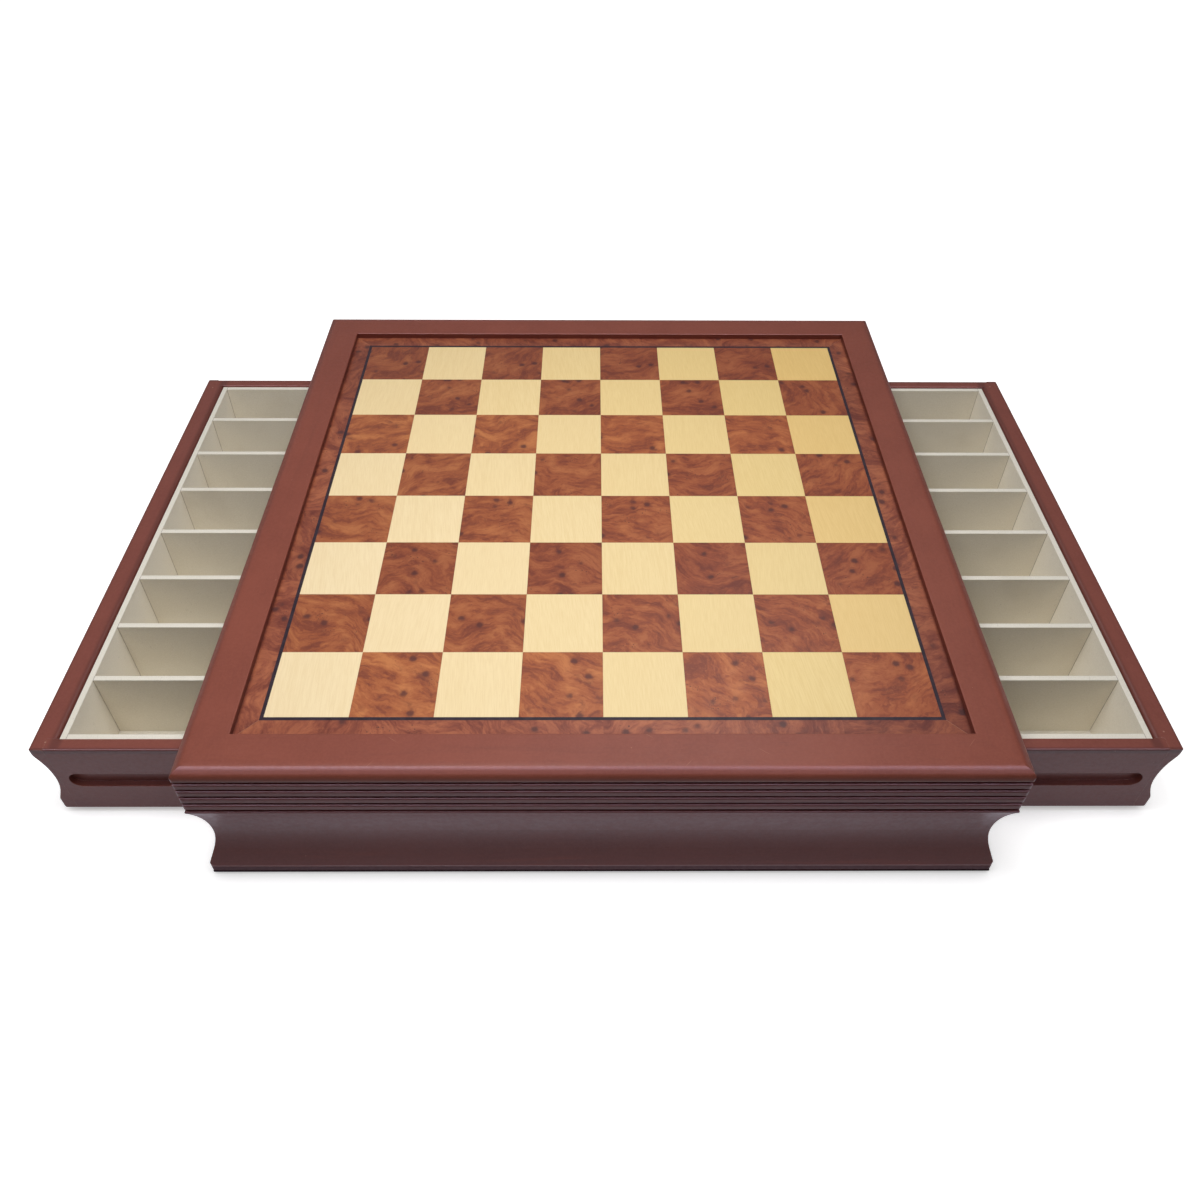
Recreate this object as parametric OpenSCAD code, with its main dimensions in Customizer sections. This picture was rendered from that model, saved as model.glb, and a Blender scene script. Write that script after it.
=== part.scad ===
// Chess box: a veneered playing board on a low case with two drawers for the men.
// Millimetres. X runs to the right, Y away from the player, Z up.
// The origin is the centre of the case's underside. The drawers slide along X.

/* [Playing board] */
// Side of one playing square
square_w = 40; // [30:1:50]
// Width of the dark line round the squares
stringing_w = 1.8; // [1:0.1:3]
// Width of the burl border that stays in sight
border_w = 10.1; // [6:0.1:20]
// Thickness of the veneers
veneer_t = 0.6; // [0.4:0.1:1.2]
// Thickness of the board that carries the veneers
core_t = 8; // [5:0.5:12]
// Part of the board that is tucked under the frame
panel_tuck = 5; // [3:0.5:8]
// Depth of the playing surface below the top of the frame
recess_d = 3.6; // [1:0.1:5]

/* [Frame] */
// Width of the flat frame round the board
frame_w = 22.6; // [16:0.1:35]
// Thickness of the frame
cap_t = 6.2; // [5.6:0.1:12]
// Radius of the frame's outer upper edge
cap_top_r = 5; // [1:0.1:5]
// Radius of the frame's outer lower edge
cap_low_r = 1; // [0.3:0.1:1.5]
// Radius of the frame's edge above the playing surface
lip_r = 0.6; // [0.2:0.1:1]
// Radius of the case's upright corners
corner_r = 1.8; // [0.4:0.1:3]

/* [Reeded mouldings] */
// Number of reeds
reed_count = 4; // [2:1:6]
// Height of one reed
reed_h = 3.75; // [2.5:0.05:6]
// Height of one groove
groove_h = 1.8; // [1:0.1:3]
// Depth of the grooves
groove_d = 2.2; // [1.2:0.1:4]
// Radius of the reeds' edges
reed_r = 0.9; // [0.3:0.1:1.1]
// Width of the ledge that carries the board
ledge_w = 4.4; // [2:0.1:8]

/* [Coved panels] */
// Depth of the cove in the case
cove_d = 5.65; // [2:0.05:8]
// Height of the cove's deepest point above the table
cove_mid = 30.2; // [26:0.1:36]
// Radius of the cove below its deepest point
cove_low_r = 34; // [25:1:60]
// Angle of the straight flare below the cove
flare_angle = 21.7; // [12:0.1:30]
// How far the foot of the flare stands out
flare_out = 0.6; // [0.2:0.1:2]
// Radius under the foot of the flare
foot_r = 0.8; // [0.5:0.1:2]
// Flat edge above the cove in the case
cove_edge = 0.9; // [0.5:0.1:4]
// Width of the case beside each drawer
corner_w = 34.5; // [30:0.5:50]

/* [Base and inside] */
// Thickness of the base board
base_t = 3; // [3:0.1:8]
// Radius of the base board's edges
base_r = 1.2; // [0.4:0.1:1.4]
// How far the base board stays inside the flare
base_inset = 0.5; // [0:0.1:3]
// Thickness of the partition between the drawers
partition_t = 6; // [5:0.5:14]
// Thickness of the screws
screw_d = 3; // [2.5:0.1:4]
// Width of the screws' heads
screw_head_d = 6; // [5:0.1:8]
// Length of the screws
screw_l = 14; // [9:0.5:20]

/* [Drawers] */
// Height of a drawer
drawer_h = 50.7; // [42:0.1:60]
// How far the left drawer is open
left_out = 87; // [0:0.5:150]
// How far the right drawer is open
right_out = 92.5; // [0:0.5:150]
// Gap beside a drawer
drawer_side_gap = 0.7; // [0.3:0.1:1.5]
// Gap under a drawer
drawer_under_gap = 0.8; // [0.3:0.1:1.5]
// Gap over a drawer
drawer_over_gap = 0.9; // [0.4:0.1:5]
// Gap behind a closed drawer
drawer_back_gap = 3.5; // [1:0.5:10]
// Thickness of a drawer's front
front_t = 12; // [10.5:0.1:16]
// Part of the front that covers the ends of the sides
front_lap = 7; // [6:0.1:9]
// Depth of the cove in a drawer's front
front_cove_d = 5.2; // [2:0.1:5.5]
// Flat edge above the cove in a drawer's front
front_edge = 3.5; // [1.5:0.1:6]
// Radius of the front's upper inner edge
front_inner_r = 2.2; // [0.5:0.1:3]
// Radius of the front's upright corners
front_corner_r = 2.2; // [0.4:0.1:3]
// Thickness of a drawer's sides
side_t = 7; // [5:0.1:10]
// Thickness of a drawer's back
back_t = 6; // [5:0.1:10]
// Radius of the drawers' upper edges
rim_r = 0.8; // [0.2:0.1:1.5]
// Thickness of a drawer's bottom
bottom_t = 2.5; // [2:0.5:5]
// Height of a drawer's bottom above its lower edge
bottom_up = 2.2; // [2:0.1:6]
// Depth of the grooves that hold a drawer's bottom
bottom_in = 2.5; // [1:0.1:3]

/* [Runners] */
// Height of the slot in a drawer's side
slot_h = 11.2; // [6:0.2:14]
// Depth of the slot in a drawer's side
slot_d = 3.5; // [2:0.1:4]
// Height of the slot's middle above a drawer's lower edge
slot_mid = 24.9; // [18:0.1:30]
// Distance from a drawer's face to the closed end of the slot
slot_end = 11.4; // [9:0.1:30]
// Gap over and under a runner
runner_gap = 0.4; // [0.3:0.1:1]
// Gap between a runner and the bottom of its slot
runner_end_gap = 1; // [0.3:0.1:1.5]
// Depth of the runner's seat in the guide wall
runner_in = 5; // [2:0.5:7]

/* [Lining] */
// Thickness of the lining's walls and dividers
liner_t = 3; // [2:0.1:5]
// Gap round the lining
liner_gap = 0.3; // [0.2:0.1:1]
// Gap between a drawer's front and the lining
liner_front_gap = 0.4; // [0.2:0.1:2]
// How far the lining stays below the drawer's upper edge
liner_down = 1.1; // [0:0.1:3]
// How much wider the two middle compartments are
middle_more = 2.2; // [0:0.1:6]

/* [Hidden] */
$fn = 128;

// A cutter reaches this far past the face that it opens
over = 1;
// Playing squares along one side of the board
squares = 8;
// Compartments across a drawer
compartments = 8;
// Width of a glue line in the veneer
glue_line = 0.04;
// Gap round the edge of the board
panel_gap = 0.2;
// Depth of the screw heads below the base's underside
screw_sink = 0.3;
// Width and depth of the cross in a screw head
cross_w = 0.9;
cross_d = 1.2;

// Plan sizes, from the middle of the board outwards
field_half = squares * square_w / 2;
line_half = field_half + stringing_w;
lip_half = line_half + border_w;
panel_half = lip_half + panel_tuck - panel_gap;
case_half = lip_half + frame_w;
rail_t = frame_w - panel_tuck + ledge_w;
inner_half = case_half - rail_t;
opening_half = case_half - corner_w;
base_half = case_half + flare_out - base_inset;
plan_reach = case_half + flare_out + over;

// Heights, from the table up
drawer_z = base_t + drawer_under_gap;
drawer_top = drawer_z + drawer_h;
reeded_z = drawer_top + drawer_over_gap;
reed_pitch = reed_h + groove_h;
reeded_h = reed_count * reed_pitch + groove_h;
cap_z = reeded_z + reeded_h;
top_z = cap_z + cap_t;
board_z = top_z - recess_d;
core_top = board_z - veneer_t;
core_z = core_top - core_t;

// Drawer sizes; a closed drawer's face lies in the plane of the case's side
drawer_half = opening_half - drawer_side_gap;
drawer_l = case_half - partition_t / 2 - drawer_back_gap;
face_x = case_half;
tail_x = face_x - drawer_l;
tray_half = drawer_half - side_t;
floor_z = drawer_z + bottom_up;
tray_z = floor_z + bottom_t;
slot_z = drawer_z + slot_mid;

// Runner sizes
runner_h = slot_h - 2 * runner_gap;
runner_proud = slot_d + drawer_side_gap - runner_end_gap;
runner_w = runner_in + runner_proud;

// Lining sizes
liner_half = tray_half - liner_gap;
liner_x1 = face_x - front_t - liner_front_gap;
liner_x0 = tail_x + back_t + liner_gap;
liner_h = drawer_top - liner_down - tray_z;
cell_pitch = (2 * liner_half - liner_t - 2 * middle_more) / compartments;
cross_x = (liner_x0 + liner_x1) / 2;

// Screws stand in the corners, along the panels and under the partition
screw_r = screw_d / 2;
screw_head_r = screw_head_d / 2;
screw_head_h = screw_head_r - screw_r;
corner_y = opening_half + rail_t / 2;
panel_mid = case_half - rail_t / 2;
screw_spots = [for (s = [-1, 1]) each [
  [s * panel_mid, -corner_y], [s * panel_mid, corner_y],
  [s * case_half / 3, -panel_mid], [s * case_half / 3, panel_mid],
  [0, s * opening_half / 2]]];

// Finishes
mahogany = "#7d4439";
dark_mahogany = "#5c3a39";
burl = "#9a5434";
maple = "#ead09a";
black_line = "#33262e";
liner_cloth = "#cfc6b0";
plain_ply = "#c2a377";
zinc = "#b9b6ae";

// What a rounded corner loses; the corner is at the origin, wood to its right and below
module round_cut(r) {
  difference() {
    translate([-over, -r]) square([r + over, r + over]);
    translate([r, -r]) circle(r);
  }
}

// The same for a lower corner
module round_cut_low(r) {
  mirror([0, 1]) round_cut(r);
}

// A tall block that is square in plan, with rounded upright corners
module rounded_block(half, r) {
  linear_extrude(top_z + over) difference() {
    square(2 * half, center = true);
    for (turn = [0 : 3]) rotate(90 * turn) translate([-half, half]) round_cut(r);
  }
}

// Runs a section along the near side of the case; its X is inwards and its Y is up
module moulding() {
  translate([-plan_reach, -case_half, 0]) rotate([90, 0, 90]) linear_extrude(2 * plan_reach) children();
}

// Wedge of the plan that belongs to the near side, so that neighbours meet in mitres
module mitre_wedge(gap = 0) {
  translate([0, 0, -over]) linear_extrude(top_z + 2 * over)
    polygon([[-plan_reach + gap, -plan_reach], [plan_reach - gap, -plan_reach], [0, -gap]]);
}

// A mitred moulding on one side of the case: 0 near, 1 right, 2 far, 3 left
module mitred_side(turn, gap = 0) {
  rotate([0, 0, 90 * turn]) intersection() {
    moulding() children();
    mitre_wedge(gap);
  }
}

// Section of the flat frame, with a rebate under its lip for the board
module cap_section() {
  difference() {
    translate([0, cap_z]) square([frame_w, cap_t]);
    translate([frame_w - panel_tuck, cap_z - over]) square([panel_tuck + over, board_z - cap_z + over]);
    translate([0, top_z]) round_cut(cap_top_r);
    translate([0, cap_z]) round_cut_low(cap_low_r);
    translate([frame_w, top_z]) mirror([1, 0]) round_cut(lip_r);
  }
}

// Section of one reed, rounded along its two edges
module reed_section() {
  translate([reed_r, 0]) square([groove_d, reed_h]);
  translate([0, reed_r]) square([groove_d, reed_h - 2 * reed_r]);
  translate([reed_r, reed_r]) circle(reed_r);
  translate([reed_r, reed_h - reed_r]) circle(reed_r);
}

// Section of the reeded moulding, with the ledge that carries the board
module reeded_section() {
  difference() {
    union() {
      translate([groove_d, reeded_z]) square([rail_t - groove_d, reeded_h]);
      for (i = [0 : reed_count - 1])
        translate([0, reeded_z + groove_h + i * reed_pitch]) reed_section();
    }
    translate([frame_w - panel_tuck, core_z]) square([rail_t, cap_z - core_z + over]);
  }
}

// Section of a coved panel from z0 to z1: a hollow that runs out into a flared foot
module cove_section(z0, z1, thick, depth, edge, edge_r) {
  rise = z1 - edge - cove_mid;
  up_r = (rise * rise + depth * depth) / (2 * depth);
  bend_h = cove_low_r * sin(flare_angle);
  bend_in = depth - cove_low_r * (1 - cos(flare_angle));
  flare_h = (bend_in + flare_out) / tan(flare_angle);
  difference() {
    translate([-flare_out, z0]) square([thick + flare_out, z1 - z0]);
    translate([-flare_out - over, cove_mid]) square([flare_out + over, z1 - cove_mid + over]);
    intersection() {
      translate([depth - up_r, cove_mid]) circle(up_r);
      translate([-flare_out - over, cove_mid]) square([depth + flare_out + 2 * over, rise]);
    }
    intersection() {
      translate([depth - cove_low_r, cove_mid]) circle(cove_low_r);
      translate([-flare_out - over, cove_mid - bend_h])
        square([depth + flare_out + 2 * over, bend_h]);
    }
    polygon([[bend_in, cove_mid - bend_h], [-flare_out, cove_mid - bend_h - flare_h],
      [-flare_out - over, cove_mid - bend_h - flare_h], [-flare_out - over, cove_mid - bend_h]]);
    translate([-flare_out, z0]) round_cut_low(foot_r);
    translate([0, z1]) round_cut(edge_r);
  }
}

// Section of the case's panels and corners
module case_cove() {
  cove_section(base_t, reeded_z, rail_t, cove_d, cove_edge, cap_low_r / 2);
}

// One countersunk screw, head down, without its cross
module screw_body() {
  translate([0, 0, screw_sink]) cylinder(h = screw_head_h, r1 = screw_head_r, r2 = screw_r);
  translate([0, 0, screw_sink]) cylinder(h = screw_l, r = screw_r);
}

// The holes that all the screws need
module screw_holes() {
  for (spot = screw_spots) translate([spot[0], spot[1], 0]) {
    screw_body();
    translate([0, 0, -over]) cylinder(h = screw_sink + over, r = screw_head_r);
  }
}

// A drawer piece, drawn closed and opening to the right, put on its side of the case
module left_drawer() {
  translate([-left_out, 0, 0]) rotate([0, 0, 180]) children();
}

module right_drawer() {
  translate([right_out, 0, 0]) children();
}

// Frame, mouldings and corners of the case

module frame_rail(turn) {
  color(mahogany) intersection() {
    mitred_side(turn) cap_section();
    rounded_block(case_half, corner_r);
  }
}

module reeded_rail(turn) {
  color(dark_mahogany) intersection() {
    mitred_side(turn) reeded_section();
    rounded_block(case_half, corner_r);
  }
}

// One side's cove, with the foot's corners rounded
module rounded_cove(turn) {
  intersection() {
    mitred_side(turn) case_cove();
    rounded_block(case_half + flare_out, corner_r + flare_out);
  }
}

module cove_panel(turn) {
  color(dark_mahogany) difference() {
    rounded_cove(turn);
    screw_holes();
  }
}

// The short coved piece between a panel and a drawer; side is 1 right or 3 left
module corner_return(side, far) {
  color(dark_mahogany) difference() {
    intersection() {
      rounded_cove(side);
      translate([-plan_reach, far ? opening_half : -plan_reach, 0])
        cube([2 * plan_reach, plan_reach - opening_half, top_z]);
    }
    screw_holes();
  }
}

// Inside of the case

module runner_blank() {
  translate([-inner_half, -opening_half - runner_in, slot_z - runner_h / 2])
    cube([2 * inner_half, runner_w, runner_h]);
}

module guide_wall(turn) {
  color(plain_ply) rotate([0, 0, turn]) difference() {
    translate([-inner_half, -inner_half, base_t])
      cube([2 * inner_half, inner_half - opening_half, core_z - base_t]);
    runner_blank();
  }
}

module runner(turn) {
  color(maple) rotate([0, 0, turn]) runner_blank();
}

module centre_partition() {
  color(plain_ply) difference() {
    translate([-partition_t / 2, -opening_half, base_t])
      cube([partition_t, 2 * opening_half, core_z - base_t]);
    for (turn = [0, 180]) rotate([0, 0, turn]) runner_blank();
    screw_holes();
  }
}

// A bar as wide as the base, rounded along its four long edges
module base_bar() {
  translate([0, base_half, 0]) rotate([90, 0, 0]) linear_extrude(2 * base_half) difference() {
    translate([-base_half, 0]) square([2 * base_half, base_t]);
    for (m = [0, 1]) mirror([m, 0]) translate([-base_half, 0]) {
      round_cut_low(base_r);
      translate([0, base_t]) round_cut(base_r);
    }
  }
}

module base_board() {
  color(dark_mahogany) difference() {
    intersection() {
      base_bar();
      rotate([0, 0, 90]) base_bar();
    }
    screw_holes();
  }
}

module base_screws() {
  color(zinc) for (spot = screw_spots) translate([spot[0], spot[1], 0]) difference() {
    screw_body();
    for (turn = [0, 90]) rotate([0, 0, turn])
      translate([-screw_r, -cross_w / 2, screw_sink - over]) cube([screw_d, cross_w, cross_d + over]);
  }
}

// Playing board

module board_core() {
  color(plain_ply) translate([-panel_half, -panel_half, core_z])
    cube([2 * panel_half, 2 * panel_half, core_t]);
}

// Every other square; odd is 0 for the squares of the near left corner's colour
module board_squares(odd) {
  for (i = [0 : squares - 1], j = [0 : squares - 1])
    if ((i + j) % 2 == odd)
      translate([i * square_w - field_half + glue_line / 2, j * square_w - field_half + glue_line / 2, core_top])
        cube([square_w - glue_line, square_w - glue_line, veneer_t]);
}

module light_squares() {
  color(maple) board_squares(0);
}

module dark_squares() {
  color(burl) board_squares(1);
}

// Four mitred veneer strips round the squares, from one half width to another
module veneer_frame(inner, outer) {
  for (turn = [0 : 3])
    mitred_side(turn, glue_line) translate([case_half - outer, core_top]) square([outer - inner, veneer_t]);
}

module stringing() {
  color(black_line) veneer_frame(field_half, line_half);
}

module burl_border() {
  color(burl) veneer_frame(line_half, panel_half);
}

// Drawers, drawn closed and opening to the right

// The bottom board, which also cuts the grooves that hold it
module bottom_blank() {
  translate([tail_x + back_t - bottom_in, -tray_half - bottom_in, floor_z])
    cube([drawer_l - back_t - front_t + 2 * bottom_in, 2 * (tray_half + bottom_in), bottom_t]);
}

// Section of a drawer's front, softened at its upper inner edge
module front_section() {
  difference() {
    cove_section(drawer_z, drawer_top, front_t, front_cove_d, front_edge, rim_r);
    translate([front_t, drawer_top]) mirror([1, 0]) round_cut(front_inner_r);
  }
}

module drawer_front() {
  color(mahogany) difference() {
    translate([face_x, -drawer_half, 0]) rotate([90, 0, 180]) linear_extrude(2 * drawer_half)
      front_section();
    for (m = [0, 1]) mirror([0, m, 0])
      translate([face_x + flare_out, drawer_half, 0]) mirror([1, 0, 0])
        linear_extrude(top_z) round_cut(front_corner_r);
    for (m = [0, 1]) mirror([0, m, 0])
      translate([face_x - front_t - over, tray_half, drawer_z - over])
        cube([front_t - front_lap + over, side_t + over, drawer_h + 2 * over]);
    bottom_blank();
  }
}

// A side: s is -1 for the side nearer -Y and 1 for the other; its inner edge is rounded up to the front
module drawer_side(s) {
  side_l = drawer_l - front_lap;
  slot_x = face_x - slot_end - slot_h / 2;
  color(mahogany) difference() {
    mirror([0, s < 0 ? 0 : 1, 0]) difference() {
      translate([tail_x, -drawer_half, 0]) rotate([90, 0, 90]) linear_extrude(side_l) difference() {
        translate([0, drawer_z]) square([side_t, drawer_h]);
        translate([0, drawer_top]) round_cut(rim_r);
      }
      translate([tail_x - over, -drawer_half + side_t, drawer_top]) rotate([90, 0, 90])
        linear_extrude(drawer_l - front_t + over) mirror([1, 0]) round_cut(rim_r);
      translate([tail_x - over, -drawer_half - over, slot_z - slot_h / 2])
        cube([slot_x - tail_x + over, slot_d + over, slot_h]);
      translate([slot_x, -drawer_half + slot_d, slot_z]) rotate([90, 0, 0])
        cylinder(h = slot_d + over, r = slot_h / 2);
    }
    bottom_blank();
  }
}

module drawer_back() {
  color(mahogany) difference() {
    translate([tail_x, -tray_half, drawer_z]) cube([back_t, 2 * tray_half, drawer_h]);
    bottom_blank();
  }
}

module drawer_bottom() {
  color(plain_ply) bottom_blank();
}

// Lining: two long walls, two end walls, and dividers that cross in half laps

module liner_wall(x) {
  color(liner_cloth) translate([x, -liner_half, tray_z]) cube([liner_t, 2 * liner_half, liner_h]);
}

module liner_front() {
  liner_wall(liner_x1 - liner_t);
}

module liner_back() {
  liner_wall(liner_x0);
}

// How far strip i moves on for the two wider compartments in the middle
function strip_shift(i) = middle_more * max(0, min(i - compartments / 2 + 1, 2));

// An end wall or a long divider, counted from -Y: 0 and 8 are the end walls
module liner_strip(i) {
  translate([liner_x0 + liner_t, -liner_half + i * cell_pitch + strip_shift(i), tray_z])
    cube([liner_x1 - liner_x0 - 2 * liner_t, liner_t, liner_h]);
}

module liner_end(i) {
  color(liner_cloth) liner_strip(i);
}

// The space that a cross divider takes at a half lap: the upper half
module lap_notch() {
  translate([cross_x - liner_t / 2, -liner_half, tray_z + liner_h / 2])
    cube([liner_t, 2 * liner_half, liner_h]);
}

module long_divider(i) {
  color(liner_cloth) difference() {
    liner_strip(i);
    lap_notch();
  }
}

module cross_divider() {
  color(liner_cloth) difference() {
    translate([cross_x - liner_t / 2, -liner_half + liner_t, tray_z])
      cube([liner_t, 2 * (liner_half - liner_t), liner_h]);
    for (i = [1 : compartments - 1]) difference() {
      liner_strip(i);
      lap_notch();
    }
  }
}

frame_rail(0);  // frame_rail_near
frame_rail(1);  // frame_rail_right
frame_rail(2);  // frame_rail_far
frame_rail(3);  // frame_rail_left
reeded_rail(0);  // reeded_rail_near
reeded_rail(1);  // reeded_rail_right
reeded_rail(2);  // reeded_rail_far
reeded_rail(3);  // reeded_rail_left
cove_panel(0);  // cove_panel_near
cove_panel(2);  // cove_panel_far
corner_return(3, false);  // corner_return_near_left
corner_return(1, false);  // corner_return_near_right
corner_return(3, true);  // corner_return_far_left
corner_return(1, true);  // corner_return_far_right
guide_wall(0);  // guide_wall_near
guide_wall(180);  // guide_wall_far
runner(0);  // runner_near
runner(180);  // runner_far
base_board();
centre_partition();
board_core();
light_squares();
dark_squares();
stringing();
burl_border();
base_screws();
left_drawer() drawer_front();  // left_front
left_drawer() drawer_back();  // left_back
left_drawer() drawer_side(1);  // left_side_near
left_drawer() drawer_side(-1);  // left_side_far
left_drawer() drawer_bottom();  // left_bottom
left_drawer() liner_front();  // left_liner_front
left_drawer() liner_back();  // left_liner_back
left_drawer() liner_end(compartments);  // left_liner_near
left_drawer() liner_end(0);  // left_liner_far
left_drawer() cross_divider();  // left_cross_divider
left_drawer() long_divider(7);  // left_divider_1
left_drawer() long_divider(6);  // left_divider_2
left_drawer() long_divider(5);  // left_divider_3
left_drawer() long_divider(4);  // left_divider_4
left_drawer() long_divider(3);  // left_divider_5
left_drawer() long_divider(2);  // left_divider_6
left_drawer() long_divider(1);  // left_divider_7
right_drawer() drawer_front();  // right_front
right_drawer() drawer_back();  // right_back
right_drawer() drawer_side(-1);  // right_side_near
right_drawer() drawer_side(1);  // right_side_far
right_drawer() drawer_bottom();  // right_bottom
right_drawer() liner_front();  // right_liner_front
right_drawer() liner_back();  // right_liner_back
right_drawer() liner_end(0);  // right_liner_near
right_drawer() liner_end(compartments);  // right_liner_far
right_drawer() cross_divider();  // right_cross_divider
right_drawer() long_divider(1);  // right_divider_1
right_drawer() long_divider(2);  // right_divider_2
right_drawer() long_divider(3);  // right_divider_3
right_drawer() long_divider(4);  // right_divider_4
right_drawer() long_divider(5);  // right_divider_5
right_drawer() long_divider(6);  // right_divider_6
right_drawer() long_divider(7);  // right_divider_7
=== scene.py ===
"""Looks of the chess box with drawers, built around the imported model.

Lengths are in metres. A noise or cell scale is a number of waves or cells a metre.
"""
import math
import random

import bmesh
import bpy
from mathutils import Matrix, Vector


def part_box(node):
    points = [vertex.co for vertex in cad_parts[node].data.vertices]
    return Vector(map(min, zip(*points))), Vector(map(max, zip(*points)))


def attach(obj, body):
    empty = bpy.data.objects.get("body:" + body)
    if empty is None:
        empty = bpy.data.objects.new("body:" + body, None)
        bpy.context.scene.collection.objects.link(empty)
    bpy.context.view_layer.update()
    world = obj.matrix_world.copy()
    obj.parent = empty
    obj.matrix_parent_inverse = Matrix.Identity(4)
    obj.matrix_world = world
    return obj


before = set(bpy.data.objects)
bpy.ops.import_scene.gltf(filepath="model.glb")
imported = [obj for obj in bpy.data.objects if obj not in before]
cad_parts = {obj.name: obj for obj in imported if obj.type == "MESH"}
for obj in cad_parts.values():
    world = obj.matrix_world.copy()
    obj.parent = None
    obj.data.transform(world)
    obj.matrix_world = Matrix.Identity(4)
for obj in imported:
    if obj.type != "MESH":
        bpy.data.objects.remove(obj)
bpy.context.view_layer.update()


# ---------------------------------------------------------------- places on the box that the finishes follow

def inner_face(node):
    """Where the face of a drawer's piece that looks towards the board lies, measured along X."""
    low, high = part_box(node)
    return high[0] if node.startswith("left") else low[0]


def outer_face(node):
    """Where the face of a drawer's piece that looks away from the board lies, measured along X."""
    low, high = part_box(node)
    return low[0] if node.startswith("left") else high[0]


SQUARE = 0.040
SQUARES_FROM_MIDDLE = 4
CAP_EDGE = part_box("frame_rail_far")[1][1]
LIP_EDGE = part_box("frame_rail_far")[0][1]
CASE_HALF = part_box("base_board")[1][1]
DRAWER_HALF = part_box("left_side_far")[1][1]
DRAWER_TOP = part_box("left_front")[1][2]

# The board's burl border is made of short leaves, and this far out lies the middle of their figure
BORDER_LEAF = 0.0562
BORDER_MIDDLE = 0.1675

# The cap's top leans outwards over this width, and by this much, before its rounding begins
CROWN_WIDE = 0.0078
CROWN_LEAN = 0.50

# Heights above the table between which the foot's rubbing comes in, and the painted shade along its lowest
# edge
RUBBED_TOP, RUBBED_FULL = 0.020, 0.010
FOOT_EDGE_TOP, FOOT_EDGE_FULL = 0.0082, 0.0064

# Colours: one stain covers the whole box, toned for each kind of piece
STAIN_DARK = (0.105, 0.026, 0.018)
STAIN_DEEP = (0.188, 0.047, 0.028)
STAIN_MID = (0.212, 0.055, 0.033)
STAIN_LIGHT = (0.245, 0.072, 0.045)
STAIN_WORN = (0.50, 0.26, 0.17)
STAIN_RUBBED = (0.300, 0.066, 0.036)
CAP_TONE = (1.0, 0.97, 0.95)
# The moulding's tone, darker and cooler than the cap's, is painted shade and cool reflection on its upright
# faces
MOULDING_SHADE_TONE = (0.80, 0.78, 0.98)
DRAWER_TONE = (0.97, 1.0, 1.10)
# The base's tone is painted shade and cool reflection where it meets the table
BASE_SHADE_TONE = (0.42, 0.50, 0.72)
# Painted shade on the upright face of the cap's lip above the board
LIP_SHADE_TINT = (0.52, 0.40, 0.38)
# Painted shade, darker and cooler, along the foot's lowest edge
FOOT_EDGE_SHADE_TINT = (0.40, 0.50, 0.62)

MAPLE_PALE = (0.875, 0.715, 0.455)
MAPLE_LINE = (0.820, 0.650, 0.390)
MAPLE_WARM = (0.795, 0.610, 0.345)
MAPLE_FLECK = (0.660, 0.470, 0.250)

FLOCK_PALE = (0.860, 0.815, 0.715)
FLOCK_DULL = (0.795, 0.745, 0.640)
FLOCK_STAIN = (0.520, 0.450, 0.330)
FLOCK_HAIR = (0.450, 0.410, 0.340)
FLOCK_JOINT = (0.160, 0.110, 0.095)
FLOCK_WALL_BOUNCE_TINT = (1.000, 0.985, 0.955)

# How dark the burl of each row is, from the player's side: leaves of one row come from one flitch
BURL_ROWS = (0.0, 0.45, 0.75, 0.4, 0.5, 0.0, 0.55, 0.75)


# ---------------------------------------------------------------- node building

def feed(tree, socket, value):
    """Gives an input another node's output or a plain value; a plain colour is made opaque."""
    if isinstance(value, bpy.types.NodeSocket):
        tree.links.new(value, socket)
    elif socket.type == "RGBA":
        socket.default_value = (*value, 1.0)
    else:
        socket.default_value = value


def add(tree, kind, feeds=None, **settings):
    """Adds a node; feeds maps an input's name or number to a value or to another node's output."""
    made = tree.nodes.new(kind)
    for name, value in settings.items():
        setattr(made, name, value)
    for name, value in (feeds or {}).items():
        feed(tree, made.inputs[name], value)
    return made


def calc(tree, operation, *values):
    """A Math node on up to three numbers."""
    return add(tree, "ShaderNodeMath", dict(enumerate(values)), operation=operation).outputs[0]


def apart(tree, first, second):
    """How far two numbers lie from each other."""
    return calc(tree, "ABSOLUTE", calc(tree, "SUBTRACT", first, second))


def vector_calc(tree, operation, *values):
    """A Vector Math node; a scale factor is given as the last value of SCALE."""
    if operation == "SCALE":
        feeds = {0: values[0], "Scale": values[1]}
    else:
        feeds = dict(enumerate(values))
    outputs = add(tree, "ShaderNodeVectorMath", feeds, operation=operation).outputs
    return outputs["Value"] if operation in ("DOT_PRODUCT", "LENGTH") else outputs["Vector"]


def parts_of(tree, vector):
    """The X, Y and Z of a vector."""
    return add(tree, "ShaderNodeSeparateXYZ", {0: vector}).outputs


def vector_of(tree, x=0.0, y=0.0, z=0.0):
    """A vector made of three numbers."""
    return add(tree, "ShaderNodeCombineXYZ", {0: x, 1: y, 2: z}).outputs[0]


def red_of(tree, colour):
    """The red part of a colour, which serves as a chance where the colour is a cell's own."""
    return add(tree, "ShaderNodeSeparateColor", {0: colour}).outputs[0]


def chance_of(tree, cell):
    """A number from 0 to 1 that belongs to one cell."""
    return add(tree, "ShaderNodeTexWhiteNoise", {"Vector": cell}, noise_dimensions="3D").outputs[0]


def facing(tree):
    """The direction in which the surface faces."""
    return add(tree, "ShaderNodeNewGeometry").outputs["Normal"]


def span(tree, value, low, high, to_low=0.0, to_high=1.0):
    """Maps low..high smoothly to to_low..to_high."""
    feeds = {0: value, 1: low, 2: high, 3: to_low, 4: to_high}
    return add(tree, "ShaderNodeMapRange", feeds, interpolation_type="SMOOTHSTEP").outputs[0]


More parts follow.
